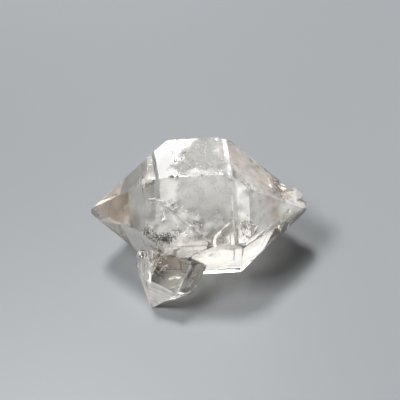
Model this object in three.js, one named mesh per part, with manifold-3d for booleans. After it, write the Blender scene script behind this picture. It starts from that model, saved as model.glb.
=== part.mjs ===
// Herkimer diamond: a stout, double-terminated quartz crystal with a smaller one grown out of its
// lower front corner, and tiny ones where the two meet. All of it is one piece of quartz.
//
// Millimetres, +Z up, the viewer at -Y. The large crystal's c axis runs along X. The stone leans
// back on its lower back edge and on the small crystal's tip, and its origin is the middle of the
// bottom of its box.

import * as THREE from "three";
import { ConvexGeometry } from "three/addons/geometries/ConvexGeometry.js";
import { mergeVertices } from "three/addons/utils/BufferGeometryUtils.js";
import Module from "manifold-3d";

const wasm = await Module();
wasm.setup();

const { degToRad } = THREE.MathUtils;
const AXIS = new THREE.Vector3(1, 0, 0);

// ---- Driving dimensions ---------------------------------------------------------------------

const TERMINATION_ANGLE = degToRad(51.8); // quartz: termination face normals to the c axis
const LEAN = degToRad(18); // how far the stone leans back about its c axis
const REST_WEAR = 0.22; // worn flat where the stone rests

// The six prism faces, by the angle that their normals stand above the horizon in front.
const FACES = ["top", "frontUpper", "frontLower", "bottom", "backLower", "backUpper"];
const FACE_ANGLES = [90, 30, -30, -90, -150, 150].map(degToRad);

// An individual is one growth of quartz. For each prism face, in the order of FACES:
//   reach  how far the face stands from the c axis
//   left   where along the axis the face gives way to its left termination face
//   right  where it gives way to its right termination face
// trims are further flat faces, each with its outward direction and its distance from the middle.
const CORNER_CHIP = { toward: [-0.633, 0.444, 0.634], at: 9.85 };
const TIP_CHIPS = [
  { toward: [0.95, 0.19, 0.27], at: 14.75 },
  { toward: [0.95, -0.19, -0.26], at: 14.9 },
];

const CORE = {
  reach: [7.93, 7.86, 7.93, 8.3, 8.21, 8.21],
  left: [-6.87, -7.3, -5.23, -4.93, -6.1, -4.52],
  right: [4.39, 6.51, 5.81, 5.95, 6.23, 4.96],
  trims: [CORNER_CHIP, ...TIP_CHIPS],
};

// A later layer that stands proud of the core and ends in ledges on both sides.
const OVERGROWTH = {
  reach: [8.3, 8.3, 8.3, 8.57, 7.93, 8.3],
  left: [-6.4, -5.38, 1.75, 0.5, -3.96, -4],
  right: [3.26, 4.25, 5.52, 5.95, 3.96, 3.82],
  trims: [
    CORNER_CHIP,
    { toward: [-0.617, -0.039, 0.786], at: 10.045 }, // the top face's left edge runs askew
    { toward: [0.95, -0.2, 0.24], at: 12.3 },
  ],
};

// The same layer further left, on the lower front face alone.
const LOWER_LAYER = {
  reach: [7.2, 7.75, 8.3, 8.57, 7.2, 7.2],
  left: [-2, -3.2, -3.6, -2.2, -2, -2],
  right: [3, 3, 3, 3, 3, 3],
};

// Thin growth steps on the overgrowth. A trim at a slight angle to a face lets a step rise out
// of it: one step over the top edge, one over the front ridge.
const TOP_STEP = {
  reach: [8.39, 8.5, 7.9, 7.9, 7.9, 8.2],
  left: [1.25, 1.13, 3, 3, 3, 0.9],
  right: [3.1, 4.05, 3.5, 3.5, 3.5, 3.6],
  trims: [{ toward: faceTowards(28.4), at: 8.241 }],
};
const RIDGE_STEP = {
  reach: [7.9, 8.6, 8.38, 8.4, 7.9, 7.9],
  left: [0, 1.6, -1.5, -1, 0, 0],
  right: [3, 3.36, 3.39, 3.3, 3, 3],
  trims: [{ toward: faceTowards(32), at: 8.24 }],
};
const BACK_STEP = {
  reach: [8, 7, 7, 8.66, 8.32, 8.42],
  left: [-2, -2, -2, -1.2, -2.6, -3.1],
  right: [2.6, 2, 2, 2, 4.9, 3.1],
};

// At the right tip, a thicker growth below that starts in a step, and a small blunt knob on top.
const TIP_GROWTH = {
  reach: CORE.reach,
  left: CORE.left,
  right: [4.39, 6.51, 6.51, 6.95, 6.37, 4.96],
  trims: [...TIP_CHIPS, { toward: [-0.97, -0.1, -0.22], at: -10.1 }],
};
const TIP_KNOB = {
  reach: [1.57, 0.85, 0.3, 0.3, 1.1, 1.52],
  left: [12.4, 12.2, 12, 12, 12.2, 12.4],
  right: [13.87, 13.87, 13.87, 13.87, 13.87, 13.87],
  trims: TIP_CHIPS,
};

// A shallow parallel growth on the left termination, short of the tip.
const LEFT_GROWTH = {
  reach: [7.6, 7.6, 7.2, 7.4, 7.6, 7.8],
  left: [-7.2, -7.75, -6.32, -6, -6.7, -4.95],
  right: [2, 2, 2, 2, 2, 2],
  trims: [CORNER_CHIP, { toward: [-0.9, -0.3, 0.3], at: 12.9 }],
};

// The small crystal: its tip is its right end, turned down and towards the viewer.
const SMALL = {
  reach: [3.76, 3.68, 3.62, 4.68, 3.55, 3.83],
  left: [-2.37, -2.37, -2.37, -2.37, -2.37, -2.37],
  right: [2.33, 2.2, 2.62, 3.22, 3.75, 2.24],
  at: [-4.12, -5.34, -6.03],
  roll: degToRad(-106),
  plunge: degToRad(59.1),
  turn: degToRad(-150.8),
};

// Tiny crystals in the corner between the two: radius, half length, place and turns in degrees.
const TINY = [
  { radius: 0.62, half: 0.45, at: [-7.75, -4.35, -4.2], roll: 12, plunge: 48, turn: -120 },
  { radius: 0.5, half: 0.5, at: [-8.3, -3.8, -4.8], roll: 40, plunge: 20, turn: -155 },
  { radius: 0.8, half: 0.7, at: [-6.6, -6.0, -3.55], roll: -10, plunge: 35, turn: -95 },
];

// Hollow chips along the edges: which face they open on, where, how wide and how deep.
const CHIPS = [
  { on: OVERGROWTH, face: "frontUpper", x: -5.3, across: 0.9, width: 2, depth: 0.4 },
  { on: OVERGROWTH, face: "frontUpper", x: -3.7, across: -0.9, width: 2.6, depth: 0.5 },
  { on: OVERGROWTH, face: "frontUpper", x: -2.1, across: -2.2, width: 2.2, depth: 0.45 },
  { on: OVERGROWTH, face: "frontUpper", x: -0.7, across: -3.5, width: 1.8, depth: 0.35 },
  { on: OVERGROWTH, face: "top", x: -3.4, across: -4.6, width: 1.3, depth: 0.14 },
  { on: OVERGROWTH, face: "top", x: 0.4, across: -4.7, width: 0.9, depth: 0.1 },
  { on: TIP_GROWTH, face: "frontUpper", side: 1, x: 13.7, across: 0.7, width: 1.5, depth: 0.16 },
  { on: TIP_GROWTH, face: "frontUpper", side: 1, x: 12.4, across: -1.1, width: 1.1, depth: 0.1 },
  { on: TIP_GROWTH, face: "frontLower", side: 1, x: 13.3, across: 0.7, width: 1.3, depth: 0.14 },
  { on: TIP_GROWTH, face: "backUpper", side: 1, x: 12.8, across: -0.6, width: 1.4, depth: 0.15 },
  { on: CORE, face: "backUpper", x: 4.6, across: -4.6, width: 2.2, depth: 0.3 },
  { on: CORE, face: "bottom", side: -1, x: -10.5, across: 1.4, width: 2, depth: 0.3 },
];
const CHIP_SQUASH = 0.65; // a chip's breadth over its width

// Patches of small three-sided pits, etched into the faces by the pocket that the stone grew in.
const PITTED = [
  { on: OVERGROWTH, face: "top", x: [-3.8, 2.8], across: [-4.2, 1.6], count: 34, width: [0.18, 0.5] },
  { on: CORE, face: "frontUpper", x: [5.4, 7.3], across: [-4.2, -1.9], count: 22, width: [0.2, 0.5] },
  { on: OVERGROWTH, face: "frontUpper", x: [-5, 3.9], across: [-3.8, 4], count: 14, width: [0.12, 0.3] },
  { on: BACK_STEP, face: "backUpper", x: [-2.8, 2.8], across: [-4, 4], count: 20, width: [0.2, 0.55] },
  { on: BACK_STEP, face: "backLower", x: [-2, 4.5], across: [-4, 4], count: 12, width: [0.2, 0.5] },
];
const PIT_SLOPE = 0.3; // a pit's depth over its width
const STEP_CLEARANCE = 0.5; // higher than any growth step
const PIT_SEED = 7;

// ---- Crystal geometry -----------------------------------------------------------------------

// The outward normal of the prism face that stands at this angle above the horizon in front.
function prismNormal(angle) {
  return new THREE.Vector3(0, -Math.cos(angle), Math.sin(angle));
}

function faceTowards(degrees) {
  return prismNormal(degToRad(degrees)).toArray();
}

// Every flat face of an individual, as an outward normal and a distance from the middle.
function facePlanes({ reach, left, right, trims = [] }) {
  const sine = Math.sin(TERMINATION_ANGLE);
  const cosine = Math.cos(TERMINATION_ANGLE);
  const planes = [];
  FACE_ANGLES.forEach((angle, i) => {
    const outward = prismNormal(angle);
    planes.push({ normal: outward, distance: reach[i] });
    for (const [side, start] of [[-1, left[i]], [1, right[i]]]) {
      const normal = outward.clone().multiplyScalar(sine).addScaledVector(AXIS, side * cosine);
      planes.push({ normal, distance: reach[i] * sine + side * start * cosine });
    }
  });
  for (const { toward, at } of trims) {
    planes.push({ normal: new THREE.Vector3(...toward).normalize(), distance: at });
  }
  return planes;
}

// The point where three planes meet, or null where they have none.
function meetingPoint(a, b, c) {
  const crossing = new THREE.Vector3().crossVectors(b.normal, c.normal);
  const volume = a.normal.dot(crossing);
  if (Math.abs(volume) < 1e-9) return null;
  return crossing
    .multiplyScalar(a.distance)
    .addScaledVector(new THREE.Vector3().crossVectors(c.normal, a.normal), b.distance)
    .addScaledVector(new THREE.Vector3().crossVectors(a.normal, b.normal), c.distance)
    .divideScalar(volume);
}

// The convex body that lies behind all of these planes.
function convexBody(planes) {
  const tolerance = 1e-6;
  const corners = [];
  for (let i = 0; i < planes.length; i += 1) {
    for (let j = i + 1; j < planes.length; j += 1) {
      for (let k = j + 1; k < planes.length; k += 1) {
        const point = meetingPoint(planes[i], planes[j], planes[k]);
        if (!point) continue;
        const inside = planes.every((p) => p.normal.dot(point) <= p.distance + tolerance);
        const known = corners.some((corner) => corner.distanceTo(point) < tolerance);
        if (inside && !known) corners.push(point);
      }
    }
  }
  return new ConvexGeometry(corners);
}

function individual(spec) {
  const geometry = convexBody(facePlanes(spec));
  const { at = [0, 0, 0], roll = 0, plunge = 0, turn = 0 } = spec;
  return geometry.rotateX(roll).rotateY(plunge).rotateZ(turn).translate(...at);
}

function tinyCrystal({ radius, half, at, roll, plunge, turn }) {
  return individual({
    reach: FACES.map((_, i) => radius * (i % 2 ? 0.94 : 1.04)),
    left: FACES.map(() => -half),
    right: FACES.map((_, i) => half + radius * (i % 2 ? 0.1 : -0.1)),
    at,
    roll: degToRad(roll),
    plunge: degToRad(plunge),
    turn: degToRad(turn),
  });
}

// A place on a face: side is 0 for the prism face, -1 or 1 for its left or right termination.
// x runs along the axis, and across runs over the face, up from its middle line.
function spot({ on, face, side = 0, x, across }) {
  const i = FACES.indexOf(face);
  const angle = FACE_ANGLES[i];
  const outward = prismNormal(angle);
  const over = new THREE.Vector3(0, Math.sin(angle), Math.cos(angle));
  const start = side < 0 ? on.left[i] : on.right[i];
  const drop = side === 0 ? 0 : (side * (x - start)) / Math.tan(TERMINATION_ANGLE);
  const point = new THREE.Vector3(x, 0, 0)
    .addScaledVector(outward, on.reach[i] - drop)
    .addScaledVector(over, across);
  const normal = outward.clone();
  if (side !== 0) {
    normal.multiplyScalar(Math.sin(TERMINATION_ANGLE));
    normal.addScaledVector(AXIS, side * Math.cos(TERMINATION_ANGLE));
  }
  return { point, normal };
}

// Puts a shape whose own +Y is up onto a spot, with that +Y along the face's normal.
function stand(geometry, { point, normal }, spin = 0) {
  const upright = new THREE.Quaternion().setFromUnitVectors(new THREE.Vector3(0, 1, 0), normal);
  return geometry.rotateY(spin).applyQuaternion(upright).translate(point.x, point.y, point.z);
}

// ---- Marks on the faces ---------------------------------------------------------------------

// A rounded, oblong hollow, turned by its place so that no two lie alike.
function chip(mark) {
  const { width, depth, x } = mark;
  const radius = (width * width) / 8 / depth + depth / 2;
  const scoop = new THREE.IcosahedronGeometry(radius, 3);
  scoop.scale(1, 1, CHIP_SQUASH).translate(0, radius - depth, 0);
  return stand(scoop, spot(mark), x);
}

// A pointed, three-sided pit, open above through any growth step that lies over its face.
function pit(mark) {
  const { width, spin } = mark;
  const profile = [
    new THREE.Vector2(0, -width * PIT_SLOPE),
    new THREE.Vector2(width / 2, 0),
    new THREE.Vector2(width / 2, STEP_CLEARANCE),
    new THREE.Vector2(0, STEP_CLEARANCE),
  ];
  return stand(new THREE.LatheGeometry(profile, 3), spot(mark), spin);
}

// A repeatable stream of numbers from 0 to 1.
function numberStream(seed) {
  let state = seed;
  return () => {
    state = (state * 1664525 + 1013904223) % 4294967296;
    return state / 4294967296;
  };
}

function pittedPatch({ on, face, x, across, count, width }, next) {
  const between = ([low, high]) => low + (high - low) * next();
  return Array.from({ length: count }, () => {
    const mark = { on, face, x: between(x), across: between(across) };
    const small = next() ** 2;
    mark.width = width[0] + (width[1] - width[0]) * small;
    mark.spin = (next() - 0.5) * 0.5;
    return pit(mark);
  });
}

// ---- Joining and cutting --------------------------------------------------------------------

function solidOf(geometry) {
  const bare = geometry.clone();
  bare.deleteAttribute("normal");
  bare.deleteAttribute("uv");
  const merged = mergeVertices(bare, 1e-5);
  const vertProperties = new Float32Array(merged.attributes.position.array);
  const triVerts = new Uint32Array(merged.index.array);
  return new wasm.Manifold(new wasm.Mesh({ numProp: 3, vertProperties, triVerts }));
}

function geometryOf(solid) {
  const mesh = solid.getMesh();
  const geometry = new THREE.BufferGeometry();
  geometry.setAttribute("position", new THREE.BufferAttribute(mesh.vertProperties, 3));
  geometry.setIndex(new THREE.BufferAttribute(mesh.triVerts, 1));
  return geometry;
}

function joined(geometries) {
  return geometries.map(solidOf).reduce((whole, piece) => whole.add(piece));
}

// Leans the stone back, wears it flat where it rests and stands it on the origin.
function rested(solid) {
  const leaned = geometryOf(solid).rotateX(-LEAN);
  leaned.computeBoundingBox();
  const ground = leaned.boundingBox.min.z + REST_WEAR;
  const span = 80;
  const below = new THREE.BoxGeometry(span, span, span).translate(0, 0, ground - span / 2);
  const geometry = geometryOf(solidOf(leaned).subtract(solidOf(below)));
  geometry.computeBoundingBox();
  const middle = geometry.boundingBox.getCenter(new THREE.Vector3());
  return geometry.translate(-middle.x, -middle.y, -geometry.boundingBox.min.z);
}

// ---- The stone ------------------------------------------------------------------------------

function quartzCrystal() {
  const layers = [CORE, OVERGROWTH, LOWER_LAYER, TOP_STEP, RIDGE_STEP, BACK_STEP];
  const ends = [TIP_GROWTH, TIP_KNOB, LEFT_GROWTH];
  const next = numberStream(PIT_SEED);
  const hollows = [...CHIPS.map(chip), ...PITTED.flatMap((patch) => pittedPatch(patch, next))];
  const marked = joined([...layers, ...ends].map(individual)).subtract(joined(hollows));
  const small = joined([individual(SMALL), ...TINY.map(tinyCrystal)]);
  const geometry = rested(marked.add(small)).toNonIndexed();
  geometry.computeVertexNormals();
  const material = new THREE.MeshStandardMaterial({
    color: 0xe9e4dc,
    roughness: 0.05,
    metalness: 0,
    transparent: true,
    opacity: 0.35,
  });
  const mesh = new THREE.Mesh(geometry, material);
  mesh.name = "quartz_crystal";
  return mesh;
}

const herkimerDiamond = new THREE.Group();
herkimerDiamond.add(quartzCrystal());

export default herkimerDiamond;
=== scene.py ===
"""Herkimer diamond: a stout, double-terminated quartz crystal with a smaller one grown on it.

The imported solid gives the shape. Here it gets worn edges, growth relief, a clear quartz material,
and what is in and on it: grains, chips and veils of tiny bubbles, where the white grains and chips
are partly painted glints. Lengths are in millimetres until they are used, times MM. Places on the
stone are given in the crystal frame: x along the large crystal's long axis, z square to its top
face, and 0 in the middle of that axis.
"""

import math
import random

import bmesh
import bpy
from mathutils import Matrix, Vector, noise
from mathutils.bvhtree import BVHTree


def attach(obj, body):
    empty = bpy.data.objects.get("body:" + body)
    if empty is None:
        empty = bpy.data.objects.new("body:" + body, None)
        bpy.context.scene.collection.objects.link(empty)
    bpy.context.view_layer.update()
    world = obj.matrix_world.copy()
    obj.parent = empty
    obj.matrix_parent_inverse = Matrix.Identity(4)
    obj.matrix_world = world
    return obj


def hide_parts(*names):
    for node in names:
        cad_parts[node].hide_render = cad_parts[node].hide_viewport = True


MM = 0.001
LEAN = math.radians(18)  # the stone leans back about the large crystal's long axis
AXIS_CENTRE = Vector((-0.2174, 1.2723, 9.5530))  # middle of that axis
TO_PART = Matrix.Translation(AXIS_CENTRE) @ Matrix.Rotation(-LEAN, 4, "X")
TO_CRYSTAL = TO_PART.inverted()

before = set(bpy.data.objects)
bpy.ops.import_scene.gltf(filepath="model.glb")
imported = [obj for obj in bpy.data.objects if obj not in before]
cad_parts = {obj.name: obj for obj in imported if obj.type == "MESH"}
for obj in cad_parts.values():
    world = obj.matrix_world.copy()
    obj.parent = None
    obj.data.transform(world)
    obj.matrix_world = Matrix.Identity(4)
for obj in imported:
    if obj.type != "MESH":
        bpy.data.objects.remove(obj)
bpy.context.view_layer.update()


# ---- Studio ---------------------------------------------------------------------------------

# The camera: how far it stands round from the front towards the right, how high, and how far off.
AZIMUTH = math.radians(-4)
ELEVATION = math.radians(53)
DISTANCE = 157
LENS = 100
CAMERA_AIM = AXIS_CENTRE + Vector((0.24, 0.66, 0.55))

LIGHT_AIM = Vector((0, 0, 8))

# The floor's colour carries a painted light falloff: darker to the left, paler towards the right.
FLOOR_HALF = 3000
FLOOR_FADE = 40  # it grows paler this far to either side of the stone
FLOOR_PAINTED_SHADE_LEFT = (0.232, 0.244, 0.257, 1)
FLOOR_PAINTED_LIGHT_RIGHT = (0.318, 0.336, 0.351, 1)
FLOOR_ROUGHNESS = 0.42

# The room: pale walls near the horizon, dark above. Heights are those of a direction's tip.
ROOM_COLOUR = (1, 0.97, 0.93, 1)
WALLS, WALLS_END = 0.11, 0.1  # strength, and the height up to which it holds
CEILING, CEILING_START = 0.01, 0.5


def look_at(thing, target):
    thing.rotation_mode = "QUATERNION"
    thing.rotation_quaternion = (target - thing.location).to_track_quat("-Z", "Y")


def make_camera():
    back = Vector(
        (
            math.sin(AZIMUTH) * math.cos(ELEVATION),
            -math.cos(AZIMUTH) * math.cos(ELEVATION),
            math.sin(ELEVATION),
        )
    )
    camera = bpy.data.objects.new("camera", bpy.data.cameras.new("camera"))
    bpy.context.scene.collection.objects.link(camera)
    camera.data.lens = LENS
    camera.data.clip_start = MM
    camera.location = (CAMERA_AIM + back * DISTANCE) * MM
    look_at(camera, CAMERA_AIM * MM)
    bpy.context.scene.camera = camera


def area_light(name, place, size, watts, diffuse=True):
    data = bpy.data.lights.new(name, "AREA")
    data.shape = "RECTANGLE"
    data.size, data.size_y = (length * MM for length in size)
    data.energy = watts
    light = bpy.data.objects.new(name, data)
    bpy.context.scene.collection.objects.link(light)
    light.location = Vector(place) * MM
    look_at(light, LIGHT_AIM * MM)
    light.visible_camera = False
    light.visible_diffuse = diffuse


def make_lights():
    area_light("softbox", place=(-85, 165, 545), size=(100, 100), watts=2.1)
    area_light("fill", place=(-280, -60, 530), size=(170, 170), watts=2.95)
    area_light("front", place=(-250, -365, 62), size=(300, 100), watts=0.36)
    area_light("side", place=(340, -270, 80), size=(200, 120), watts=0.18)
    # A card behind the stone, seen only in what is glossy or clear.
    area_light("back", place=(-92, 350, 82), size=(305, 120), watts=1.08, diffuse=False)


def new_material(name):
    material = bpy.data.materials.new(name)
    material.use_nodes = True
    return material, material.node_tree, material.node_tree.nodes["Principled BSDF"]


def add_node(tree, kind, inputs, **settings):
    """A node of that kind. inputs maps a socket to a value or to the output socket to link."""
    node = tree.nodes.new("ShaderNode" + kind)
    for name, value in settings.items():
        setattr(node, name, value)
    for socket, value in inputs.items():
        if isinstance(value, bpy.types.NodeSocket):
            tree.links.new(value, node.inputs[socket])
        else:
            node.inputs[socket].default_value = value
    return node


def coordinates(tree, kind):
    return add_node(tree, "TexCoord", {}).outputs[kind]


def part_of(tree, vector, axis):
    return add_node(tree, "SeparateXYZ", {0: vector}).outputs[axis]


def make_floor():
    half = FLOOR_HALF * MM
    mesh = bpy.data.meshes.new("floor")
    corners = [(-half, -half, 0), (half, -half, 0), (half, half, 0), (-half, half, 0)]
    mesh.from_pydata(corners, [], [(0, 1, 2, 3)])
    floor = bpy.data.objects.new("floor", mesh)
    bpy.context.scene.collection.objects.link(floor)
    material, tree, shader = new_material("floor")
    # Painted light falloff: the floor's colour runs from darker at the left to paler at the right.
    x = part_of(tree, coordinates(tree, "Object"), "X")
    fade = FLOOR_FADE * MM
    across = add_node(tree, "MapRange", {"Value": x, "From Min": -fade, "From Max": fade})
    ends = {"Factor": across.outputs["Result"], "A": FLOOR_PAINTED_SHADE_LEFT, "B": FLOOR_PAINTED_LIGHT_RIGHT}
    shade = add_node(tree, "Mix", ends, data_type="RGBA")
    tree.links.new(shade.outputs["Result"], shader.inputs["Base Color"])
    shader.inputs["Roughness"].default_value = FLOOR_ROUGHNESS
    mesh.materials.append(material)


def make_world():
    world = bpy.data.worlds.new("studio")
    bpy.context.scene.world = world
    world.use_nodes = True
    tree = world.node_tree
    background = tree.nodes["Background"]
    background.inputs["Color"].default_value = ROOM_COLOUR
    height = part_of(tree, coordinates(tree, "Generated"), "Z")
    heights = {"Value": height, "From Min": WALLS_END, "From Max": CEILING_START}
    strengths = {"To Min": WALLS, "To Max": CEILING}
    glow = add_node(tree, "MapRange", heights | strengths, interpolation_type="SMOOTHSTEP")
    tree.links.new(glow.outputs["Result"], background.inputs["Strength"])


# ---- The crystal's surface ------------------------------------------------------------------

# Its mesh: corners closer than MERGE are one, and faces within FLAT of each other are one flat
# face. Edges sharper than WORN_EDGE are bevelled, and no side is left longer than TRIANGLE.
MERGE = 0.0005
FLAT = math.radians(0.5)
WORN_EDGE = math.radians(14)
BEVEL = 0.03
TRIANGLE = 0.34
MOST_CUTS = 8
CREASE = math.radians(12)  # edges sharper than this are shaded sharp

# Relief: the greatest depth of each kind, and how fine it is, in waves or cells a millimetre.
HILLOCKS, HILLOCK_SCALE = 0.006, 0.5
STRIATIONS, STRIATION_SCALE = 0.004, (2.2, 0.15, 0.15)
PITS, PIT_SCALE = 0.016, 3.4
PIT_STEEPNESS = 1.6
GRIT, GRIT_SCALE = 0.008, 4.5
PRISM_FACE = 0.1  # a face along the long axis has a normal with an x below this
LEAST_ETCH = 0.02  # pits and grit are left out where it is etched less than this

SAME_FACE = 0.97  # cosine of the most that a normal may turn from the face that a patch keeps to
EDGE = 0.985  # a corner is on an edge if the cosine of its normal and a face's is below this
RAG_SCALE = 0.9  # how fine the unevenness of patches' rims is, in waves a millimetre

# The directions of the faces that patches keep to, in the crystal frame.
FRONT_UPPER = (0, -0.866, 0.5)
FRONT_LOWER = (0, -0.866, -0.5)
RIGHT_UPPER = (0.618, -0.681, 0.393)
RIGHT_TOP = (0.618, 0, 0.786)
SMALL_TIP = (-0.41, -0.88, -0.25)  # the small crystal's lit tip face
SMALL_LEFT = (-0.84, -0.20, 0.50)
SMALL_EDGE = (-0.94, -0.31, -0.14)
SMALL_FRONT = (-0.17, -0.92, 0.36)
SMALL_RIGHT = (0.68, -0.72, -0.14)
SMALL_LOWER = (0.25, -0.72, -0.64)

# Where the surface is etched rough. Each row is a patch: its centre, its radii, how strong it is,
# and the face that it keeps to, if any.
ETCHED = [
    ((1.4, 3.0, 8.4), (2.3, 2.2, 1.2), 1.0),
    ((0.9, 0.6, 8.4), (3.1, 2.4, 1.2), 1.0),
    ((0.2, -2.4, 8.4), (3.5, 2.2, 1.2), 1.0),
    ((-7.0, -0.5, 7.8), (1.1, 5.4, 0.9), 0.9),
    ((3.9, 0.5, 8.2), (1.1, 5.4, 0.9), 0.4),
    ((5.4, -2.0, 7.2), (2.8, 3.2, 1.8), 0.6),
    ((8.5, 0.5, 5.2), (3.6, 3.0, 2.2), 0.3),
    ((6.2, -8.1, 1.5), (1.2, 1.0, 1.5), 0.9),
    ((14.3, -0.4, 0.6), (1.3, 1.8, 1.8), 0.9),
    ((12.2, -3.5, 1.0), (2.4, 0.9, 0.8), 0.9),
    ((9.4, -5.4, -0.6), (2.8, 1.6, 0.9), 0.8),
    ((-5.9, -8.2, 1.4), (2.6, 1.0, 1.3), 0.8),
    ((-1.2, -8.3, 1.7), (1.3, 0.8, 1.3), 0.7),
    ((-3.2, -8.6, -1.4), (3.4, 1.2, 1.4), 0.9, FRONT_LOWER),
    ((-6.3, -8.6, -8.2), (3.4, 3.2, 4.0), 0.4, SMALL_TIP),
    ((-8.2, -6.0, -5.6), (2.4, 2.8, 3.6), 0.3, SMALL_LEFT),
    ((-6.0, -7.5, -1.6), (1.6, 1.2, 0.9), 0.7),
]
# Where it is milky just under the surface.
MILKY = [
    ((0.8, -6.0, 5.0), (5.4, 3.4, 4.2), 0.27),
    ((4.6, -6.6, 4.6), (0.9, 3.4, 4.4), 0.80, RIGHT_UPPER),
    ((3.5, 0.0, 8.2), (0.9, 6.0, 1.0), 0.75, RIGHT_TOP),
    ((5.2, -6.4, 4.8), (1.2, 3.0, 3.8), 0.15),
    ((-3.6, -8.0, 2.2), (3.4, 1.8, 2.2), 0.42),
    ((4.4, -8.2, 2.4), (3.4, 1.8, 2.2), 0.10),
    ((7.6, -6.4, 3.4), (2.6, 2.2, 3.0), 0.60),
    ((-4.4, -5.6, 6.8), (1.3, 1.6, 2.6), 0.42, FRONT_UPPER),
    ((-0.6, -7.6, 3.4), (0.4, 0.5, 0.4), 0.40),
    ((0.5, 0.5, 8.4), (4.0, 5.0, 1.2), 0.08),
    ((-0.2, -3.7, 8.4), (1.3, 0.7, 1.0), 0.30),
    ((8.0, -0.3, 5.8), (4.8, 4.6, 3.2), 0.82),
    ((6.0, 1.6, 7.0), (3.0, 4.0, 2.0), 0.60),
    ((9.6, -4.4, 2.4), (3.8, 2.4, 2.6), 0.62),
    ((12.6, -2.4, 0.7), (3.2, 2.4, 1.9), 1.00),
    ((9.4, -5.6, -0.4), (3.2, 1.8, 1.0), 0.60),
    ((5.2, -9.0, -0.2), (4.6, 1.2, 0.9), 0.85, FRONT_LOWER),
    ((-0.2, -9.2, -0.2), (4.2, 1.0, 0.9), 0.60, FRONT_UPPER),
    ((6.2, -8.9, 0.6), (3.4, 1.4, 0.9), 0.90, FRONT_UPPER),
    ((8.6, -7.4, 0.4), (2.8, 1.6, 0.8), 0.80, RIGHT_UPPER),
    ((-3.0, -8.8, -1.6), (4.4, 1.6, 2.6), 0.50, FRONT_LOWER),
    ((14.3, -0.4, 0.6), (1.3, 1.6, 1.6), 0.60),
    ((-7.0, -3.9, 7.6), (1.0, 1.2, 0.8), 0.30),
    ((-8.0, -6.0, 3.0), (2.4, 2.6, 2.6), 0.20),
    ((-12.4, -2.0, 1.8), (3.4, 4.0, 3.4), 0.14),
    ((-6.3, -8.6, -8.2), (3.4, 3.2, 4.6), 0.95, SMALL_TIP),
    ((-8.0, -5.6, -10.0), (2.0, 2.0, 4.0), 0.95, SMALL_EDGE),
    ((-8.2, -6.0, -5.6), (2.4, 2.8, 3.6), 0.40, SMALL_LEFT),
    ((-3.8, -8.9, -6.2), (2.2, 1.6, 1.6), 0.20, SMALL_FRONT),
    ((-2.6, -8.4, -5.0), (1.6, 1.4, 2.2), 0.35, SMALL_RIGHT),
    ((-2.2, -7.6, -8.6), (3.2, 1.6, 1.8), 0.60, SMALL_LOWER),
]
# Where growth lines show as greyish streaks.
STRIPED = [
    ((-6.3, -8.6, -8.2), (3.4, 3.2, 4.6), 1.0, SMALL_TIP),
    ((-8.2, -6.0, -5.6), (3.0, 3.4, 4.6), 0.9, SMALL_LEFT),
    ((-8.0, -5.6, -10.0), (2.0, 2.0, 4.0), 0.6, SMALL_EDGE),
    ((-2.2, -7.6, -8.6), (3.2, 1.6, 2.4), 0.7, SMALL_LOWER),
]
STRIPES = (0.21, -0.36, 0.91)  # square to the growth lines
# Where the edges are worn white.
WORN = [
    ((-5.5, -7.5, -7.5), (5.0, 4.0, 5.0), 0.95),
    ((14.0, -1.0, 0.5), (2.6, 3.0, 2.4), 0.80),
    ((9.0, -5.0, -1.5), (4.0, 3.0, 1.6), 0.50),
    ((-5.2, -6.0, 6.2), (0.8, 3.0, 3.0), 0.60),
    ((0.0, 0.0, 0.0), (20.0, 12.0, 12.0), 0.12),
]
# Where a brownish film colours it.
FILM = [
    ((-10.8, -3.0, 4.4), (3.2, 3.6, 2.8), 0.72),
    ((-12.6, -1.5, 0.6), (4.2, 4.5, 4.0), 0.24),
    ((-10.8, -4.4, 1.2), (3.2, 3.4, 3.6), 0.42),
    ((-7.2, 0.0, 7.6), (1.6, 5.0, 1.4), 0.30),
    ((-6.8, -5.0, 6.8), (1.2, 1.4, 1.2), 0.30),
    ((13.2, -1.0, 0.6), (3.4, 3.6, 2.8), 0.34),
    ((11.6, 0.2, 2.4), (1.6, 1.0, 1.0), 0.55),
    ((10.6, -3.6, 1.6), (3.6, 2.6, 3.0), 0.40),
    ((8.5, 1.0, 5.0), (5.6, 4.2, 3.6), 0.72),
    ((5.6, 1.8, 7.2), (2.6, 3.6, 1.6), 0.55),
    ((6.1, -8.1, 1.5), (1.2, 1.0, 1.6), 0.35),
    ((-5.6, -8.0, -4.2), (4.0, 2.2, 3.0), 0.38),
    ((-6.2, -7.4, -1.8), (2.6, 1.6, 1.2), 0.55),
]


def patches(point, normal, table, rag, soft):
    """How strongly the table's patches cover a point of the crystal frame, from 0 to 1. Their
    rims are as uneven as rag and fade over soft, both as shares of their radii."""
    bare = 1
    shift = rag * noise.fractal(point * RAG_SCALE, 1.0, 2.0, 3)
    for centre, radii, strength, *facing in table:
        if facing and normal.dot(facing[0]) < SAME_FACE:
            continue
        offset = point - Vector(centre)
        away = math.sqrt(sum((offset[i] / radii[i]) ** 2 for i in range(3)))
        inside = max(0.0, min(1.0, (1 + shift + soft / 2 - away) / soft))
        bare *= 1 - strength * inside * inside * (3 - 2 * inside)
    return 1 - bare


def drop_pockets(fine):
    """Deletes the flat pockets that cut slivers leave: pairs of faces on the same corners."""
    twins = {}
    for face in fine.faces:
        twins.setdefault(frozenset(face.verts), []).append(face)
    pockets = [f for same in twins.values() if len(same) > 1 for f in same[len(same) % 2 :]]
    bmesh.ops.delete(fine, geom=pockets, context="FACES")


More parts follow.
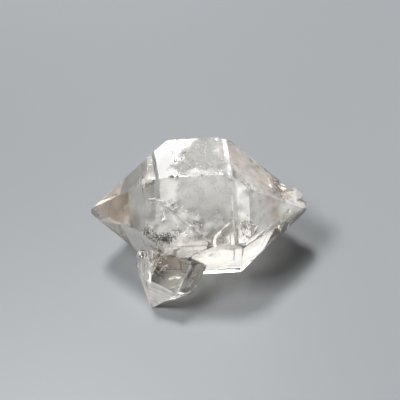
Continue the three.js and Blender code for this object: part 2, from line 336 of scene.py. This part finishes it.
def fine_mesh(node):
    """The node's shape with worn edges, cut into small triangles."""
    fine = bmesh.new()
    fine.from_mesh(node.data)
    bmesh.ops.remove_doubles(fine, verts=fine.verts, dist=MERGE * MM)
    bmesh.ops.dissolve_limit(fine, angle_limit=FLAT, verts=fine.verts, edges=fine.edges)
    sharp = [e for e in fine.edges if e.is_manifold and e.calc_face_angle() > WORN_EDGE]
    bmesh.ops.bevel(
        fine, geom=sharp, offset=BEVEL * MM, segments=1, affect="EDGES", clamp_overlap=True
    )
    bmesh.ops.triangulate(fine, faces=fine.faces)
    for _ in range(MOST_CUTS):
        long_edges = [e for e in fine.edges if e.calc_length() > TRIANGLE * MM]
        if not long_edges:
            break
        bmesh.ops.subdivide_edges(fine, edges=long_edges, cuts=1)
        bmesh.ops.triangulate(fine, faces=[f for f in fine.faces if len(f.verts) > 3])
        drop_pockets(fine)
    return fine


def wave(point):
    """Noise from about 0 to 1."""
    return 0.5 + 0.5 * noise.noise(point)


def relief(point, normal, etch):
    """How deep the surface is pressed in at a point of the crystal frame."""
    depth = HILLOCKS * wave(point * HILLOCK_SCALE)
    if abs(normal.x) < PRISM_FACE:
        depth += STRIATIONS * wave(Vector(p * s for p, s in zip(point, STRIATION_SCALE)))
    if etch > LEAST_ETCH:
        cell = noise.voronoi(point * PIT_SCALE)[0][0]
        depth += etch * PITS * max(0, 1 - PIT_STEEPNESS * cell)
        depth += etch * GRIT * wave(point * GRIT_SCALE)
    return depth


def carve_relief(fine):
    """Presses the etching, the growth hillocks and the striations into the surface. Returns, for
    each vertex, how etched, filmed, milky and striped it is."""
    fine.normal_update()
    cover = {"etched": [], "film": [], "milky": [], "striped": []}
    moves = []
    turn = TO_CRYSTAL.to_3x3()
    for vertex in fine.verts:
        point = TO_CRYSTAL @ (vertex.co / MM)
        normal = vertex.normal
        facing = turn @ normal
        etch = patches(point, facing, ETCHED, rag=0.35, soft=0.35)
        milk = patches(point, facing, MILKY, rag=0.4, soft=0.9)
        if min(normal.dot(face.normal) for face in vertex.link_faces) < EDGE:
            milk = max(milk, patches(point, facing, WORN, rag=0.5, soft=0.4))
        cover["etched"].append(etch)
        cover["film"].append(patches(point, facing, FILM, rag=0.5, soft=0.8))
        cover["milky"].append(milk)
        cover["striped"].append(patches(point, facing, STRIPED, rag=0.2, soft=0.3))
        moves.append(normal * -relief(point, normal, etch) * MM)
    for vertex, move in zip(fine.verts, moves):
        vertex.co += move
    return cover


QUARTZ_IOR = 1.544
CLEAR = (0.985, 0.965, 0.92, 1)
CLOUDY = (0.955, 0.935, 0.89, 1)
BROWN_FILM = (0.58, 0.48, 0.385, 1)
DUST = (0.97, 0.94, 0.91, 1)
STRIPE = (0.56, 0.55, 0.50, 1)
STRIPE_STRENGTH = 0.8
SMOKE = (0.97, 0.92, 0.85, 1)
SMOKE_DENSITY = 28  # a metre
CLEAREST = 0.97  # transmission where nothing is milky
BUMP_DEPTH, BUMP_STRENGTH = 0.05, 0.35


def quartz_material():
    material, tree, shader = new_material("quartz")
    # The object's own metres, moved, turned and scaled to the crystal frame's millimetres.
    shift = {"Vector": coordinates(tree, "Object"), "Location": tuple(-AXIS_CENTRE * MM)}
    metres = add_node(tree, "Mapping", shift).outputs["Vector"]
    turn = {"Vector": metres, "Rotation": (LEAN, 0, 0), "Scale": (1000, 1000, 1000)}
    point = add_node(tree, "Mapping", turn).outputs["Vector"]

    def cover(name):
        return add_node(tree, "Attribute", {}, attribute_name=name).outputs["Fac"]

    def noise_of(scale, detail=3.0, vector=point):
        """Noise with about that many waves a millimetre."""
        inputs = {"Vector": vector, "Scale": scale, "Detail": detail}
        return add_node(tree, "TexNoise", inputs).outputs["Fac"]

    def ramp(value, low, high, to_low=0.0, to_high=1.0):
        """Eases from to_low, where the value is low, to to_high, where it is high."""
        inputs = {"Value": value, "From Min": low, "From Max": high}
        inputs |= {"To Min": to_low, "To Max": to_high}
        node = add_node(tree, "MapRange", inputs, interpolation_type="SMOOTHSTEP")
        return node.outputs["Result"]

    def maths(operation, a, b):
        return add_node(tree, "Math", {0: a, 1: b}, operation=operation).outputs["Value"]

    def times(a, b):
        return maths("MULTIPLY", a, b)

    def plus(a, b):
        return maths("ADD", a, b)

    def blend(factor, a, b):
        node = add_node(tree, "Mix", {"Factor": factor, "A": a, "B": b}, data_type="RGBA")
        return node.outputs["Result"]

    def stretched(scale):
        return add_node(tree, "Mapping", {"Vector": point, "Scale": scale}).outputs["Vector"]

    etched, film, milky, striped = map(cover, ("etched", "film", "milky", "striped"))

    # Growth lines: noise that changes fast square to the lines and slowly along them.
    square = {0: point, 1: STRIPES}
    layer = add_node(tree, "VectorMath", square, operation="DOT_PRODUCT").outputs["Value"]
    fast = add_node(tree, "CombineXYZ", {"X": times(layer, 3.4)}).outputs["Vector"]
    both = {0: fast, 1: stretched((0.12, 0.12, 0.12))}
    line_place = add_node(tree, "VectorMath", both, operation="ADD").outputs["Vector"]
    stripes = times(striped, ramp(noise_of(1.0, 4.0, line_place), 0.38, 0.62))

    # Colour: clear to faintly cloudy, with brownish film in patches, dust in the etching, and
    # growth lines.
    cloud = ramp(noise_of(0.55), 0.35, 0.68)
    tint = times(film, ramp(noise_of(0.8), 0.3, 0.62, 0.35, 1.0))
    tinted = blend(tint, blend(cloud, CLEAR, CLOUDY), BROWN_FILM)
    dusty = times(etched, ramp(noise_of(3.2), 0.42, 0.6, 0.0, 0.7))
    dusted = blend(dusty, tinted, DUST)
    colour = blend(times(stripes, STRIPE_STRENGTH), dusted, STRIPE)
    tree.links.new(colour, shader.inputs["Base Color"])

    # Gloss: polished faces with a faint drift of haze, and matt where etched.
    haze = ramp(noise_of(0.35), 0.4, 0.75, 0.012, 0.06)
    matt = times(etched, ramp(noise_of(2.4), 0.35, 0.62, 0.25, 0.60))
    tree.links.new(plus(haze, matt), shader.inputs["Roughness"])

    # Fine relief: striations across the long axis, etch grain and growth lines.
    striations = times(noise_of(3.0, 4.0, stretched((1, 0.06, 0.06))), 0.25)
    etch_grain = times(times(noise_of(6.0, 5.0), etched), 1.6)
    height = plus(plus(striations, etch_grain), stripes)
    press = {"Distance": BUMP_DEPTH * MM, "Strength": BUMP_STRENGTH}
    bump = add_node(tree, "Bump", {"Height": height} | press)
    tree.links.new(bump.outputs["Normal"], shader.inputs["Normal"])

    # Clear all through, but for the milky patches and a trace of smoke.
    shader.inputs["IOR"].default_value = QUARTZ_IOR
    veil = times(milky, ramp(noise_of(0.7, 5.0), 0.3, 0.65, 0.75, 1.1))
    clarity = maths("SUBTRACT", CLEAREST, veil)
    tree.links.new(clarity, shader.inputs["Transmission Weight"])
    smoke = add_node(tree, "VolumeAbsorption", {"Color": SMOKE, "Density": SMOKE_DENSITY})
    tree.links.new(smoke.outputs["Volume"], tree.nodes["Material Output"].inputs["Volume"])
    return material


def make_crystal():
    """The stone. Returns its surface, for what lies on it."""
    fine = fine_mesh(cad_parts["quartz_crystal"])
    cover = carve_relief(fine)
    mesh = bpy.data.meshes.new("quartz")
    fine.to_mesh(mesh)
    surface = BVHTree.FromBMesh(fine)
    fine.free()
    for name, values in cover.items():
        mesh.attributes.new(name, "FLOAT", "POINT").data.foreach_set("value", values)
    mesh.shade_smooth()
    mesh.set_sharp_from_angle(angle=CREASE)
    crystal = bpy.data.objects.new("quartz", mesh)
    bpy.context.scene.collection.objects.link(crystal)
    mesh.materials.append(quartz_material())
    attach(crystal, "root")
    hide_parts("quartz_crystal")
    return surface


# ---- What is in and on it -------------------------------------------------------------------

SEED = 11

# Grains: how deep the middle lies, as a share of the size, how lumpy they are, and how flat the
# white ones are.
SUNK = 0.1
LUMPY = (0.6, 1.15)
FLECK_SQUASH = 0.7
# Chips: cross-sections along one, how far their sides are sunk, how high the ridge is as a share
# of the half width, and how far they bend as a share of their length.
SECTIONS = 7
CHIP_SUNK = 0.06
CHIP_RIDGE = 0.7
CHIP_BEND = 0.1
# Bubbles: half their width, a flat one's corners, and the least depth under the surface.
BUBBLE_SIZES = (0.02, 0.06)
BUBBLE = ((1, 0, 0), (0, 0, 1), (-1, 0, 0), (0, 0, -1), (0, 0.3, 0), (0, -0.3, 0))
BUBBLE_DEPTH = 0.15
# Their sheets: how far they spread, as a share of the radii, how thick they are, how fine their
# waves and streaks are, in waves a millimetre, and the noise between which a streak fades.
SHEET_SPREAD = 0.45
SHEET_THICKNESS = 0.06
SHEET_WAVES = 0.9
SHEET_STREAKS = 1.4
STREAK_RIM = (-0.35, 0.3)
MOST_TRIES = 6  # for each bubble

GRAIN_NOISE = 1500  # in waves a metre
DARK_COLOURS = (0.02, 0.02, 0.018, 1), (0.09, 0.08, 0.065, 1)
WHITE_AND_GLINT_COLOURS = (0.97, 0.96, 0.94, 1), (0.85, 0.83, 0.80, 1)

# Grains on the surface: centre, radii, how many, and the largest size.
DARK = [
    ((-7.2, -8.0, 1.9), (1.0, 0.5, 0.7), 80, 0.24),
    ((-5.2, -8.5, 1.2), (1.7, 0.5, 0.8), 260, 0.21),
    ((-4.9, -8.6, 0.9), (0.8, 0.4, 0.6), 190, 0.21),
    ((-6.4, -8.2, 1.1), (1.5, 0.5, 0.7), 110, 0.20),
    ((-3.2, -8.2, 1.8), (1.0, 0.4, 0.9), 50, 0.22),
    ((-1.0, -8.2, 2.2), (1.2, 0.4, 1.0), 40, 0.22),
    ((-5.8, -7.6, -1.5), (1.6, 0.6, 0.6), 50, 0.26),
    ((-3.8, -6.6, 5.2), (0.5, 0.4, 0.6), 16, 0.20),
    ((5.9, -8.1, 1.7), (0.9, 0.4, 1.4), 60, 0.20),
    ((4.8, -8.3, 1.7), (0.4, 0.3, 1.6), 14, 0.20),
    ((2.6, -8.4, 1.6), (0.8, 0.3, 1.6), 18, 0.20),
    ((1.0, 0.5, 8.4), (2.8, 3.6, 0.2), 90, 0.14),
    ((-2.0, -1.5, 8.4), (1.2, 2.6, 0.2), 80, 0.13),
    ((12.5, -1.5, 2.0), (2.4, 1.4, 1.0), 22, 0.22),
    ((-8.2, -5.5, -6.0), (1.4, 1.2, 2.0), 12, 0.18),
    ((-5.5, -8.8, -4.6), (1.6, 0.4, 0.8), 40, 0.22),
    ((-2.1, -8.7, -5.4), (0.9, 0.4, 1.4), 36, 0.24),
]
# White grains: partly real white specks, partly painted glints. Their white colour stands in for
# sparkle where the surface catches the light, most of all on the right tip and the top face.
WHITE_FLECKS_AND_GLINTS = [
    ((-6.0, -5.9, 5.4), (0.8, 0.3, 0.5), 10, 0.24),
    ((-5.0, -7.0, 3.5), (0.4, 0.3, 0.7), 14, 0.24),
    ((-0.6, -7.6, 3.3), (0.4, 0.2, 0.4), 10, 0.20),
    ((-2.4, -8.2, 1.5), (0.5, 0.2, 0.5), 14, 0.26),
    ((-1.2, -8.2, 2.0), (1.2, 0.3, 1.0), 30, 0.22),
    ((6.8, -4.7, 6.0), (1.8, 1.2, 1.0), 34, 0.24),
    ((4.8, -7.4, 3.3), (0.4, 0.3, 0.4), 6, 0.26),
    ((-7.0, -3.9, 7.7), (0.6, 0.9, 0.5), 16, 0.24),
    ((-0.2, -3.7, 8.3), (1.4, 0.7, 0.1), 70, 0.18),
    ((-2.0, -1.5, 8.4), (1.0, 2.4, 0.2), 60, 0.15),
    ((1.0, 0.0, 8.4), (2.6, 3.4, 0.2), 90, 0.15),
    ((12.4, -2.9, 1.0), (1.7, 0.9, 0.6), 420, 0.26),
    ((14.3, -0.4, 0.8), (0.7, 1.2, 0.9), 130, 0.18),
    ((10.2, -4.4, -1.4), (1.8, 0.9, 0.6), 60, 0.24),
    ((6.4, -7.9, 1.8), (1.0, 0.4, 1.2), 40, 0.20),
    ((-5.4, -8.4, 1.3), (2.2, 0.5, 1.0), 130, 0.18),
    ((-6.2, -8.3, -7.8), (1.4, 1.2, 2.6), 16, 0.16),
    ((-8.0, -6.2, -5.6), (1.2, 1.4, 2.2), 12, 0.18),
    ((-4.2, -8.9, -5.4), (1.2, 0.4, 0.3), 26, 0.2),
]
# Slender chips in the surface: place, how far they spread, how many, length, width, turn on the
# face and how much it varies.
# The bright chips are white: partly real chips, partly painted glints standing in for sparkle, most
# of all on the right tip and the top face.
BRIGHT_CHIPS_AND_GLINTS = [
    ((-6.5, -5.8, 5.7), 0.0, 1, 1.0, 0.22, 6, 0),
    ((-5.8, -6.2, 4.95), 0.0, 1, 0.7, 0.16, -52, 0),
    ((-5.0, -6.9, 3.75), 0.0, 1, 1.5, 0.22, -84, 0),
    ((-5.1, -7.2, 3.2), 0.1, 2, 0.6, 0.34, 20, 40),
    ((-3.0, -6.9, 4.6), 0.25, 4, 0.7, 0.16, 38, 20),
    ((-1.9, -7.2, 4.1), 0.2, 2, 0.6, 0.14, 0, 30),
    ((-4.0, -6.4, 5.3), 0.25, 3, 0.5, 0.14, 40, 50),
    ((-2.4, -8.2, 1.5), 0.15, 3, 0.6, 0.26, 15, 30),
    ((-1.0, -8.2, 2.2), 0.5, 8, 0.4, 0.12, 30, 60),
    ((7.3, -7.6, 1.3), 0.25, 4, 0.8, 0.24, 30, 40),
    ((6.4, -4.6, 6.4), 0.8, 9, 0.26, 0.16, 0, 90),
    ((7.4, -4.6, 5.2), 0.7, 7, 0.26, 0.16, 0, 90),
    ((12.6, -2.9, 0.9), 0.8, 30, 0.36, 0.16, 10, 60),
    ((14.3, -0.4, 0.8), 0.7, 14, 0.3, 0.12, 0, 90),
    ((10.6, -3.9, -1.6), 0.8, 10, 0.4, 0.16, 20, 60),
    ((-0.3, -3.7, 8.3), 0.8, 24, 0.24, 0.14, 0, 90),
    ((1.6, -2.4, 8.3), 1.2, 12, 0.24, 0.12, 0, 90),
    ((-7.0, -3.9, 7.7), 0.6, 4, 0.4, 0.14, 40, 60),
    ((-7.6, -7.6, -4.6), 0.6, 10, 0.5, 0.12, 60, 40),
    ((-4.4, -8.9, -5.6), 0.12, 5, 0.5, 0.2, 15, 25),
    ((-3.5, -8.9, -5.4), 0.12, 5, 0.6, 0.2, 15, 25),
    ((-5.6, -8.6, -3.9), 0.4, 5, 0.5, 0.2, 30, 60),
    ((-7.2, -8.3, -5.4), 0.1, 2, 1.9, 0.22, 84, 5),
    ((-2.0, -8.4, -7.6), 0.4, 6, 0.7, 0.16, 60, 20),
]
DARK_CHIPS = [
    ((-3.8, -6.4, 5.4), 0.35, 9, 0.45, 0.12, 60, 40),
    ((-2.1, -7.1, 4.2), 0.3, 4, 0.6, 0.12, 0, 30),
    ((-0.9, -8.2, 2.2), 0.6, 10, 0.5, 0.1, 45, 60),
    ((-1.6, -8.4, 1.1), 0.5, 6, 0.4, 0.1, 20, 60),
    ((-2.0, 0.3, 8.3), 0.7, 9, 0.8, 0.07, 42, 6),
    ((-2.3, -1.4, 8.3), 0.7, 6, 0.5, 0.07, 42, 8),
    ((1.0, 2.4, 8.3), 0.8, 4, 0.5, 0.08, 90, 10),
    ((5.3, -8.5, 0.9), 0.5, 9, 0.5, 0.12, 60, 40),
    ((5.9, -7.9, 2.0), 0.6, 8, 0.4, 0.1, 70, 50),
    ((2.6, -8.4, 1.6), 0.6, 7, 0.4, 0.1, 80, 60),
    ((-6.3, -8.6, -4.4), 0.1, 2, 1.6, 0.26, -42, 4),
    ((-6.2, -8.6, -5.0), 0.5, 10, 0.6, 0.16, -40, 40),
    ((-2.1, -8.7, -5.2), 0.4, 7, 0.6, 0.16, 50, 40),
]
# Milky wisps of tiny bubbles inside: centre, radii, how many, and the sheet's tilt and turn.
WISPS = [
    ((2.2, -5.0, 3.6), (3.4, 0.5, 2.6), 500, 20, 15),
    ((4.6, -4.6, 5.4), (2.2, 0.5, 2.2), 300, 35, -20),
    ((-2.6, -5.6, 2.6), (3.2, 0.5, 2.0), 420, 10, -15),
    ((7.6, -2.6, 4.0), (2.6, 0.5, 2.0), 360, 40, 20),
    ((-9.0, -2.2, 3.0), (2.2, 0.5, 1.8), 240, 25, 35),
    ((0.4, 0.8, 6.6), (3.2, 2.8, 0.4), 300, 0, 0),
    ((3.4, -5.6, -1.6), (3.0, 0.5, 1.8), 260, -15, 10),
]


def add_piece(name, vertices, faces, material):
    mesh = bpy.data.meshes.new(name)
    mesh.from_pydata([tuple(TO_PART @ v * MM) for v in vertices], [], faces)
    mesh.materials.append(material)
    piece = bpy.data.objects.new(name, mesh)
    bpy.context.scene.collection.objects.link(piece)
    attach(piece, "root")


def rotation(degrees, axis):
    return Matrix.Rotation(math.radians(degrees), 3, axis)


def nearest(surface, spot):
    """The surface's nearest point and its normal, all in the crystal frame."""
    place, normal, _, _ = surface.find_nearest(TO_PART @ spot * MM)
    return TO_CRYSTAL @ (place / MM), TO_CRYSTAL.to_3x3() @ normal


def grain(rng, size, squash):
    """A lumpy little stone about its own middle: an icosahedron with its corners moved."""
    ball = bmesh.new()
    bmesh.ops.create_icosphere(ball, subdivisions=1, radius=size / 2)
    vertices = []
    for vertex in ball.verts:
        co = vertex.co * rng.uniform(*LUMPY)
        co.z *= squash
        vertices.append(co)
    faces = [tuple(v.index for v in face.verts) for face in ball.faces]
    ball.free()
    return vertices, faces


def scatter(rng, surface, table, squash=1.0):
    """Grains on the surface in the table's patches, most of them well under the largest size."""
    vertices, faces = [], []
    for centre, radii, count, largest in table:
        for _ in range(count):
            spot = Vector(centre) + Vector(rng.gauss(0, r / 2) for r in radii)
            place, normal = nearest(surface, spot)
            width = largest * (0.4 + 0.6 * rng.random() ** 2)
            shape, sides = grain(rng, width, squash)
            spin = Matrix.Rotation(rng.uniform(0, math.tau), 3, "Z")
            turn = normal.to_track_quat("Z", "Y").to_matrix() @ spin
            start = len(vertices)
            vertices += [place - normal * width * SUNK * squash + turn @ v for v in shape]
            faces += [tuple(start + i for i in side) for side in sides]
    return vertices, faces


def splinters(rng, surface, table):
    """Slender three-sided chips that lie half sunk in the surface."""
    vertices, faces = [], []
    for centre, spread, count, length, width, turn, vary in table:
        for _ in range(count):
            spot = Vector(centre) + Vector(rng.gauss(0, spread) for _ in range(3))
            place, normal = nearest(surface, spot)
            along = (Vector((1, 0, 0)) - normal * normal.x).normalized()
            spin = Matrix((along, normal.cross(along), normal)).transposed()
            spin @= rotation(turn + rng.uniform(-vary, vary), "Z")
            reach = length * rng.uniform(0.7, 1.2)
            start = len(vertices)
            for i in range(SECTIONS):
                t = i / (SECTIONS - 1)
                taper = math.sin(math.pi * (0.06 + 0.88 * t))
                half = width / 2 * taper * rng.uniform(0.6, 1.25)
                x = (t - 0.5) * reach
                bend = CHIP_BEND * reach * (2 * t - 1) ** 2
                corners = (
                    (x, bend - half, -CHIP_SUNK),
                    (x, bend, CHIP_RIDGE * half),
                    (x, bend + half, -CHIP_SUNK),
                )
                vertices += [place + spin @ Vector(corner) for corner in corners]
            for i in range(SECTIONS - 1):
                a, b = start + 3 * i, start + 3 * i + 3
                faces += [(a, b, b + 1, a + 1), (a + 1, b + 1, b + 2, a + 2)]
                faces += [(a + 2, b + 2, b, a)]
            end = start + 3 * (SECTIONS - 1)
            faces += [(start, start + 1, start + 2), (end + 2, end + 1, end)]
    return vertices, faces


def wisps(rng, surface):
    """Tiny flat bubbles in thin, wavy sheets inside the stone."""
    vertices, faces = [], []
    for centre, radii, count, tilt, turn in WISPS:
        centre = Vector(centre)
        pose = rotation(turn, "Z") @ rotation(tilt, "X")
        placed = tries = 0
        while placed < count and tries < MOST_TRIES * count:
            tries += 1
            x, z = (rng.gauss(0, SHEET_SPREAD) * radii[i] for i in (0, 2))
            offset = Vector((x, 0, z))
            offset.y = radii[1] * noise.noise(offset * SHEET_WAVES + centre)
            offset.y += rng.gauss(0, SHEET_THICKNESS)
            spot = centre + pose @ offset
            # Bunched, so that the sheet breaks up into streaks.
            if noise.noise(spot * SHEET_STREAKS) < rng.uniform(*STREAK_RIM):
                continue
            here = TO_PART @ spot * MM
            near, normal, _, _ = surface.find_nearest(here)
            if (here - near).dot(normal) > -BUBBLE_DEPTH * MM:
                continue
            size = rng.uniform(*BUBBLE_SIZES)
            start = len(vertices)
            spin = Matrix.Rotation(rng.uniform(0, math.tau), 3, "Y")
            axes = pose @ (spin @ Matrix.Rotation(rng.gauss(0, 0.5), 3, "X"))
            for corner in BUBBLE:
                vertices.append(spot + axes @ Vector(corner) * size * rng.uniform(0.7, 1.3))
            for i in range(4):
                j = (i + 1) % 4
                faces += [(start + i, start + j, start + 5), (start + j, start + i, start + 4)]
            placed += 1
    return vertices, faces


def grain_material(name, colours, roughness):
    """A material that drifts between two colours."""
    material, tree, shader = new_material(name)
    drift = {"Vector": coordinates(tree, "Object"), "Scale": GRAIN_NOISE, "Detail": 2.0}
    factor = add_node(tree, "TexNoise", drift).outputs["Fac"]
    ends = {"Factor": factor, "A": colours[0], "B": colours[1]}
    colour = add_node(tree, "Mix", ends, data_type="RGBA").outputs["Result"]
    tree.links.new(colour, shader.inputs["Base Color"])
    shader.inputs["Roughness"].default_value = roughness
    return material


# ---- The scene ------------------------------------------------------------------------------

make_camera()
make_floor()
make_world()
make_lights()
surface = make_crystal()
dark = grain_material("dark_grain", DARK_COLOURS, roughness=0.6)
# This white is partly a painted glint: on the white flecks and bright chips it stands in for
# sparkle, while on the bubbles it is their own colour.
white = grain_material("white_fleck_and_painted_glint", WHITE_AND_GLINT_COLOURS, roughness=0.4)
rng = random.Random(SEED)
add_piece("dark_grains", *scatter(rng, surface, DARK), dark)
add_piece("white_flecks_and_painted_glints", *scatter(rng, surface, WHITE_FLECKS_AND_GLINTS, FLECK_SQUASH), white)
add_piece("bright_chips_and_painted_glints", *splinters(rng, surface, BRIGHT_CHIPS_AND_GLINTS), white)
add_piece("dark_chips", *splinters(rng, surface, DARK_CHIPS), dark)
add_piece("bubble_wisps", *wisps(rng, surface), white)

scene = bpy.context.scene
scene.view_settings.view_transform = "Standard"
scene.cycles.max_bounces = 24
scene.cycles.transmission_bounces = 24
scene.cycles.glossy_bounces = 12
scene.cycles.use_denoising = True
